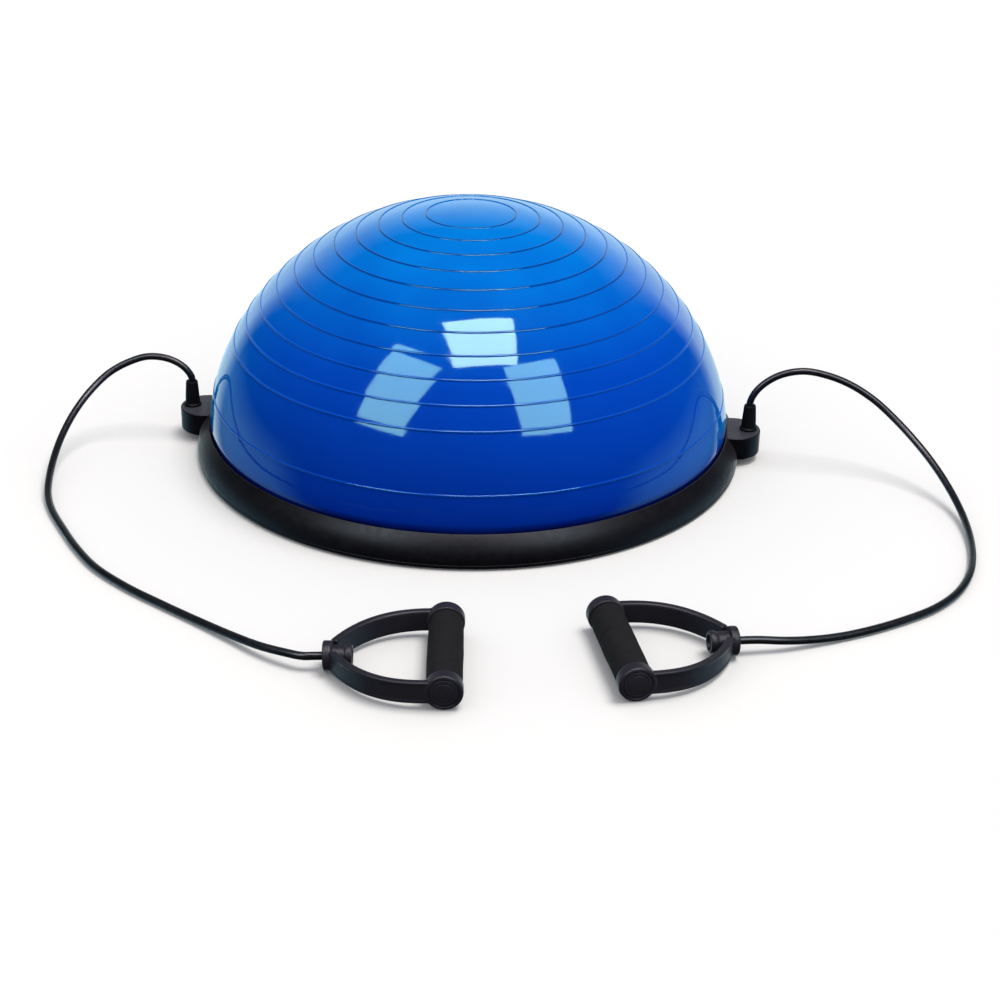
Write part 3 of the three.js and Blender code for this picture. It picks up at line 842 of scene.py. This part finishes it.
def make_valve():
    flange = PLATE_TOP + GAP
    seat = rounded([
        (VALVE_BORE_R, VALVE_LOW, 0.4), (VALVE_R, VALVE_LOW, 0.5), (VALVE_R, flange),
        (FLANGE_R, flange, 0.4), (FLANGE_R, flange + 2, 0.6), (VALVE_R, flange + 2.7, 0.6),
        (VALVE_R - 2, VALVE_TOP, 0.8), (VALVE_BORE_R, VALVE_TOP, 0.4),
    ], closed=True)
    obj = smooth(mesh_object("valve_seat_piece", turned(seat)))
    finish_piece(obj, "black_rubber", "base", "valve_seat", shift(0, VALVE_Y))
    shank = VALVE_BORE_R - GAP
    waist = shank - 0.5
    plug = rounded([
        (0, PLUG_LOW + 0.5), (3, PLUG_LOW + 0.5, 0.5), (3.6, PLUG_LOW, 0.3),
        (PLUG_CAP_R - 0.1, PLUG_LOW, 0.4), (PLUG_CAP_R, 1.5, 0.2), (shank, 1.5, 0.2), (shank, 8),
        (waist, 8.6, 0.3), (waist, 9.4, 0.3), (shank, 10), (shank, PLUG_TOP - 2, 0.5),
        (shank - 1.2, PLUG_TOP, 0.5), (0, PLUG_TOP),
    ])
    obj = smooth(mesh_object("valve_plug_piece", turned(plug)))
    finish_piece(obj, "black_rubber", "valve", "valve_plug", shift(0, VALVE_Y))


# ---------- anchors ----------
SLEEVE_LOW = 17.5
SLEEVE_TOP = 60
SLEEVE_FOOT_R = 7.8
SLEEVE_TOP_R = 6.0
COLLAR_R = 9.2
COLLAR_HEIGHT = 2
STOP_R = 8.7
STOP_LOW = 8.2


def make_anchor(side):
    place = shift(SOCKET_X if side == "right" else -SOCKET_X)
    bore = mm(CORD_R) + GAP
    shank = SOCKET_R - GAP
    sleeve = rounded([
        (bore, SLEEVE_LOW), (shank, SLEEVE_LOW, 0.5), (shank, LUG_TOP + GAP),
        (COLLAR_R, LUG_TOP + GAP, 0.4), (COLLAR_R, LUG_TOP + COLLAR_HEIGHT, 0.9),
        (SLEEVE_FOOT_R, LUG_TOP + COLLAR_HEIGHT + 1.2, 1.2),
        (SLEEVE_FOOT_R - 0.4, LUG_TOP + 12, 8), (SLEEVE_TOP_R + 0.4, SLEEVE_TOP - 2, 3),
        (SLEEVE_TOP_R, SLEEVE_TOP, 0.9), (bore, SLEEVE_TOP, 0.5),
    ], closed=True)
    obj = smooth(mesh_object(f"{side}_anchor_sleeve_piece", turned(sleeve)), 40)
    finish_piece(obj, "black_rubber", f"{side}_band", f"{side}_anchor_sleeve", place)
    top = SOCKET_STEP - GAP
    stop = rounded([
        (0, STOP_LOW + 0.7), (3.5, STOP_LOW + 0.7, 1), (4.5, STOP_LOW, 0.6), (STOP_R, STOP_LOW, 1.3),
        (STOP_R, top, 1), (0, top),
    ])
    obj = smooth(mesh_object(f"{side}_cord_stop_piece", turned(stop)), 40)
    finish_piece(obj, "black_rubber", f"{side}_band", f"{side}_cord_stop", place)


# ---------- handles, in the handle's own frame ----------
GRIP_X = grip_distance()
ARM_T = 7
ARM_H = 21
ARM_LIP = 0.6  # how far the bead along the arm's edges stands out
ARM_LIP_WIDTH = 2.4
ARM_ROOT = (9.5, 9.5)
ARM_BOW = (42, 68)  # what the arm bows out towards
ARM_LEAD_X = 87  # where the arm starts to run straight to its boss
ARM_END_Y = 60.9
BOSS_R = 16.9
BOSS_IN = 53
BOSS_OUT = 65.5
CAP_SEAT = 62.5
CAP_SEAT_R = 13.2
CAP_GROOVE_R = (9.3, 9.9)
SPIGOT_LENGTH = 9
CORE_R = 8.1
CORE_BORE_R = 5.5
FOAM_R = 16.2
FOAM_HALF = 52.5
FOAM_WAVE = 0.07
HUB_LENGTH = 26
HUB_R = 9.2
HUB_FLANGE = 8
HUB_FLANGE_R = 13.6
HUB_COLLAR_X = 20
HUB_COLLAR_R = 10.4
HUB_BORE_R = 4.2
HUB_POCKET_X = 15
HUB_POCKET_R = 7
KNOB_R = 6.4
KNOB_LENGTH = 9
VOXEL = 0.0007  # metres, the grid that melts the moulded yoke's parts together


def at_grip(shape, side=1):
    """Lays a shape that was turned about Z along the grip's axis. Side -1 is its other end."""
    return moved(along_y(shape, side), GRIP_X, 0)


def bezier(a, b, c, d, t):
    """A point on a cubic Bezier curve, and its direction."""
    a, b, c, d = (Vector(point) for point in (a, b, c, d))
    point = (1 - t) ** 3 * a + 3 * (1 - t) ** 2 * t * b + 3 * (1 - t) * t**2 * c + t**3 * d
    slope = 3 * (1 - t) ** 2 * (b - a) + 6 * (1 - t) * t * (c - b) + 3 * t**2 * (d - c)
    return point, slope.normalized()


def arm_section():
    """The arm's section, as (outwards, up): a flat band with a low bead along its outer face's edges."""
    out = ARM_T / 2
    up = ARM_H / 2
    lip = up - ARM_LIP_WIDTH
    flat = out - ARM_LIP
    return rounded([
        (-out, -up, 2), (out, -up, 1.3), (out, -lip, 0.8), (flat, 1 - lip, 0.8), (flat, lip - 1, 0.8),
        (out, lip, 0.8), (out, up, 1.3), (-out, up, 2),
    ], turn=30)


def arm(side, steps=48):
    section = arm_section()
    points = []
    for k in range(steps + 1):
        centre, slope = bezier(ARM_ROOT, ARM_BOW, (ARM_LEAD_X, ARM_END_Y), (GRIP_X, ARM_END_Y), k / steps)
        for out, up in section:
            points.append((centre.x - slope.y * out, side * (centre.y + slope.x * out), up))
    width = len(section)
    faces = [list(range(width))[::-1], [steps * width + j for j in range(width)]]
    for k in range(steps):
        for j in range(width):
            after = (j + 1) % width
            faces.append([k * width + j, k * width + after, (k + 1) * width + after, (k + 1) * width + j])
    if side > 0:
        faces = [face[::-1] for face in faces]
    return np.array(points, float), faces


def yoke_shape():
    """Hub with two flanges, two band arms and two round bosses, melted into one."""
    hub = rounded([
        (0, 0), (HUB_FLANGE_R, 0, 1.4), (HUB_FLANGE_R, HUB_FLANGE, 1.4), (HUB_R, HUB_FLANGE, 0.8),
        (HUB_R, HUB_COLLAR_X, 0.8), (HUB_COLLAR_R, HUB_COLLAR_X, 0.6), (HUB_COLLAR_R, HUB_LENGTH, 1.2),
        (0, HUB_LENGTH),
    ])
    yoke = mesh_object("yoke_shape", along_x(turned(hub, HANDLE_ROUND)))
    boss = rounded([(0, BOSS_IN), (BOSS_R, BOSS_IN, 1.2), (BOSS_R, BOSS_OUT, 2.2), (0, BOSS_OUT)])
    for side in (-1, 1):
        combine(yoke, arm(side), "UNION")
        combine(yoke, at_grip(turned(boss, BOSS_ROUND), side), "UNION")
    remesh = yoke.modifiers.new("melt", "REMESH")
    remesh.mode = "VOXEL"
    remesh.voxel_size = VOXEL
    relax = yoke.modifiers.new("relax", "SMOOTH")
    relax.factor = 0.5
    relax.iterations = 6
    return settle(yoke)


def yoke_mesh():
    """The moulded yoke with its cap seats and its stepped bore for the cord's knob."""
    yoke = yoke_shape()
    core_r = CORE_R + GAP
    seat_mouth = CAP_SEAT_R + 0.6
    seat = rounded([
        (0, BOSS_IN - OVERSHOOT), (core_r, BOSS_IN - OVERSHOOT), (core_r, CAP_SEAT),
        (CAP_SEAT_R, CAP_SEAT), (CAP_SEAT_R, BOSS_OUT - 0.5), (seat_mouth, BOSS_OUT + 0.1),
        (seat_mouth, BOSS_OUT + OVERSHOOT), (0, BOSS_OUT + OVERSHOOT),
    ])
    seats = [at_grip(turned(seat, HANDLE_ROUND), side) for side in (-1, 1)]
    bore_mouth = HUB_BORE_R + EDGE
    pocket_mouth = HUB_POCKET_R + EDGE
    bore = rounded([
        (0, -OVERSHOOT), (bore_mouth, -OVERSHOOT), (bore_mouth, 0), (HUB_BORE_R, EDGE),
        (HUB_BORE_R, HUB_POCKET_X), (HUB_POCKET_R, HUB_POCKET_X), (HUB_POCKET_R, HUB_LENGTH - 0.6),
        (pocket_mouth, HUB_LENGTH + 0.2), (pocket_mouth, HUB_LENGTH + OVERSHOOT),
        (0, HUB_LENGTH + OVERSHOOT),
    ])
    combine(yoke, joined([*seats, along_x(turned(bore))]), "DIFFERENCE")
    return mesh_of(smooth(yoke, 45))


def foam_outline():
    """A closed outline of the foam tube with soft ends, with points about 2 mm apart."""
    bore = CORE_R + GAP
    corners = rounded([
        (bore, -FOAM_HALF), (FOAM_R - 0.4, -FOAM_HALF, 2.4), (FOAM_R - 0.1, 0),
        (FOAM_R - 0.4, FOAM_HALF, 2.4), (bore, FOAM_HALF),
    ], closed=True)
    outline = []
    for first, second in zip(corners, corners[1:]):
        parts = max(1, round(math.dist(first, second) / 2))
        outline += [tuple(Vector(first).lerp(Vector(second), k / parts)) for k in range(parts)]
    return [*outline, outline[0]]


def foam_mesh():
    """The foam grip, with a slightly uneven skin."""
    points, faces = turned(foam_outline(), HANDLE_ROUND)
    radius = np.hypot(points[:, 0], points[:, 1])
    angle = np.arctan2(points[:, 1], points[:, 0])
    along = points[:, 2]
    wave = np.sin(3 * angle + along / 9) + np.sin(5 * angle - along / 6 + 1)
    wave += np.sin(2 * angle + along / 17 + 2)
    skin = np.clip((radius - FOAM_R + 3) / 3, 0, 1)
    grow = 1 + FOAM_WAVE * wave * skin / radius
    points[:, :2] *= grow[:, None]
    return mesh_of(smooth(mesh_object("foam_shape", along_y((points, faces))), 60))


def core_shape():
    half = CAP_SEAT - GAP
    core = rounded([
        (CORE_BORE_R, -half), (CORE_R, -half, 0.4), (CORE_R, half, 0.4), (CORE_BORE_R, half),
    ], closed=True)
    return at_grip(turned(core))


def cap_shape(side):
    """A disc with a spigot in the core tube, and a shallow groove round its slightly domed face."""
    spigot = CORE_BORE_R - GAP
    disc = CAP_SEAT_R - 0.4
    back = CAP_SEAT + GAP
    groove_in, groove_out = CAP_GROOVE_R
    cap = rounded([
        (0, CAP_SEAT - SPIGOT_LENGTH), (spigot, CAP_SEAT - SPIGOT_LENGTH, 0.8), (spigot, back),
        (disc, back, 0.3), (disc, BOSS_OUT - 0.1, 0.9), (groove_out + 0.3, BOSS_OUT + 0.3, 0.3),
        (groove_out, BOSS_OUT + 0.1, 0.3), (groove_in, BOSS_OUT + 0.1, 0.3),
        (groove_in - 0.3, BOSS_OUT + 0.4, 0.3), (4, BOSS_OUT + 0.75, 20), (0, BOSS_OUT + 0.8),
    ])
    return at_grip(turned(cap, HANDLE_ROUND), side)


def knob_shape():
    """The knob on the cord's end, in the hub's pocket."""
    start = HUB_POCKET_X + GAP
    end = start + KNOB_LENGTH
    knob = rounded([
        (0, start), (KNOB_R, start, 1), (KNOB_R, HUB_POCKET_X + 6, 2), (KNOB_R - 3, end, 2.5), (0, end),
    ])
    return along_x(turned(knob))


def shared_mesh(name, shape):
    return mesh_of(smooth(mesh_object(name, shape), 35))


def make_handles():
    meshes = {
        "yoke": (yoke_mesh(), "handle_plastic", "handle"),
        "grip_core": (shared_mesh("core_shape", core_shape()), "handle_plastic", "grip"),
        "grip_foam": (foam_mesh(), "grip_foam", "grip"),
        "end_cap_a": (shared_mesh("cap_a_shape", cap_shape(1)), "handle_plastic", "grip"),
        "end_cap_b": (shared_mesh("cap_b_shape", cap_shape(-1)), "handle_plastic", "grip"),
        "hub_stop": (shared_mesh("stop_shape", knob_shape()), "black_rubber", "band"),
    }
    for side in SIDES:
        place = handle_matrix(side)
        for node, (mesh, look, body) in meshes.items():
            obj = add_object(f"{side}_{node}_piece", mesh)
            here = place @ shift(GRIP_X) if node == "grip_foam" else place
            finish_piece(obj, look, f"{side}_{body}", f"{side}_{node}", here)


# ---------- studio ----------
FLOOR_HALF = 60000
FLOOR_DEPTH = 40
FLOOR_COLOUR = (0.85, 0.82, 0.78, 1)
FLOOR_GLOW = 0.02


def make_floor():
    """A pale floor that only the camera sees, so that it doesn't wash out the black plastic."""
    low = (-FLOOR_HALF, -FLOOR_HALF, -FLOOR_DEPTH)
    floor = mesh_object("floor", box(low, (FLOOR_HALF, FLOOR_HALF, 0)))
    new_look("floor", Base_Color=FLOOR_COLOUR, Roughness=1.0, Specular_IOR_Level=0.0,
             Emission_Color=(1, 1, 1, 1), Emission_Strength=FLOOR_GLOW)
    floor.data.materials.append(LOOKS["floor"])
    floor.visible_diffuse = False
    floor.visible_glossy = False


# What the room looks like from the object. The limits are parts of a direction whose length is 1.
SKY = (0.62, 0.645, 0.70)  # the light that comes from the white room above
GROUND = (0.08, 0.08, 0.08)
HORIZON = (-0.15, 0.15)
BACKDROP = (1.05, 1.24, 1.20)  # the white wall behind the object, as the gloss shows it
BACKDROP_CENTRE = -0.045
BACKDROP_HALF = (0.52, 0.68)
BACKDROP_NEAR = (0.25, 0.45)
BACKDROP_TOP = (0.12, 0.55)
SIDE_FLOOR = (0.36, 0.74, 0.95)  # the pale floor on either side of the object, as the gloss shows it
SIDE_FLOOR_X = (0.50, 0.95)
SIDE_FLOOR_NEAR = (-0.35, -0.05)
SIDE_FLOOR_TOP = (-0.14, 0.06)


def mirrored_room(tree, x, y, z):
    """What the gloss shows: a white wall behind the object and pale floor beside it, in a dark room."""
    black = (0, 0, 0)
    aside = spread(tree, x, -1 - BACKDROP_CENTRE, 1 - BACKDROP_CENTRE, -1, 1)
    wall_x = spread(tree, maths(tree, "ABSOLUTE", aside), 1, 0, *BACKDROP_HALF)
    wall = maths(tree, "MULTIPLY", wall_x, spread(tree, z, 1, 0, *BACKDROP_TOP))
    wall = maths(tree, "MULTIPLY", wall, spread(tree, y, 0, 1, *BACKDROP_NEAR))
    floor_x = spread(tree, maths(tree, "ABSOLUTE", x), 0, 1, *SIDE_FLOOR_X)
    floor = maths(tree, "MULTIPLY", floor_x, spread(tree, z, 1, 0, *SIDE_FLOOR_TOP))
    floor = maths(tree, "MULTIPLY", floor, spread(tree, y, 0, 1, *SIDE_FLOOR_NEAR))
    wall_colour = blend_colours(tree, wall, black, BACKDROP)
    return sum_of_colours(tree, wall_colour, blend_colours(tree, floor, black, SIDE_FLOOR))


def make_world():
    """A white room to the camera. Its light comes mostly from above."""
    world = bpy.data.worlds.new("studio")
    bpy.context.scene.world = world
    world.use_nodes = True
    world.cycles.sampling_method = "NONE"
    tree = world.node_tree
    split = tree.nodes.new("ShaderNodeSeparateXYZ")
    tree.links.new(tree.nodes.new("ShaderNodeTexCoord").outputs["Generated"], split.inputs["Vector"])
    x, y, z = (split.outputs[name] for name in "XYZ")
    light = blend_colours(tree, spread(tree, z, 0, 1, *HORIZON), GROUND, SKY)
    path = tree.nodes.new("ShaderNodeLightPath").outputs
    black = (0, 0, 0)
    seen = blend_colours(tree, path["Is Camera Ray"], black, (1, 1, 1))
    lit = blend_colours(tree, path["Is Diffuse Ray"], black, light)
    shone = blend_colours(tree, path["Is Glossy Ray"], black, mirrored_room(tree, x, y, z))
    room = sum_of_colours(tree, seen, sum_of_colours(tree, lit, shone))
    tree.links.new(room, tree.nodes["Background"].inputs["Color"])


# The soft boxes only show in the gloss. Each has a place, a width, a height, a turn about its own axis in
# degrees, a power and a colour.
SOFT_BOXES = {
    "top_box": ((0.21, -0.62, 2.09), 0.93, 0.82, -12, 50, (1.0, 0.86, 0.78)),
    "left_box": ((-1.02, -1.36, 1.72), 0.92, 1.40, 3, 36, (0.83, 1.0, 0.94)),
    "right_box": ((1.19, -1.24, 1.68), 0.90, 1.27, -14, 33.5, (0.83, 1.0, 0.94)),
}
LIT_POINT = Vector((0, -0.2, 0.15))
KEY_FROM = Vector((0.30, 0.12, 1.0))  # the way to the soft key light, which doesn't show in the gloss
KEY_POWER = 1.9
KEY_ANGLE = math.radians(30)


def make_lights():
    for name, (at, width, height, turn, power, colour) in SOFT_BOXES.items():
        data = bpy.data.lights.new(name, "AREA")
        data.shape = "RECTANGLE"
        data.size = width
        data.size_y = height
        data.energy = power
        data.color = colour
        light = add_object(name, data)
        aim = (LIT_POINT - Vector(at)).to_track_quat("-Z", "Y").to_matrix().to_4x4()
        light.matrix_world = Matrix.Translation(at) @ aim @ Matrix.Rotation(math.radians(turn), 4, "Z")
        light.visible_camera = False
        light.visible_diffuse = False
    data = bpy.data.lights.new("key", "SUN")
    data.energy = KEY_POWER
    data.angle = KEY_ANGLE
    key = add_object("key", data)
    key.matrix_world = KEY_FROM.to_track_quat("Z", "Y").to_matrix().to_4x4()
    key.visible_camera = False
    key.visible_glossy = False


def make_object():
    make_looks()
    for side in SIDES:
        make_cord(side)
    make_dome()
    make_rim()
    make_platform()
    make_feet()
    make_screws()
    make_valve()
    for side in SIDES:
        make_anchor(side)
    make_handles()


make_camera()
make_object()
make_floor()
make_world()
make_lights()
bpy.context.scene.view_settings.view_transform = "Standard"
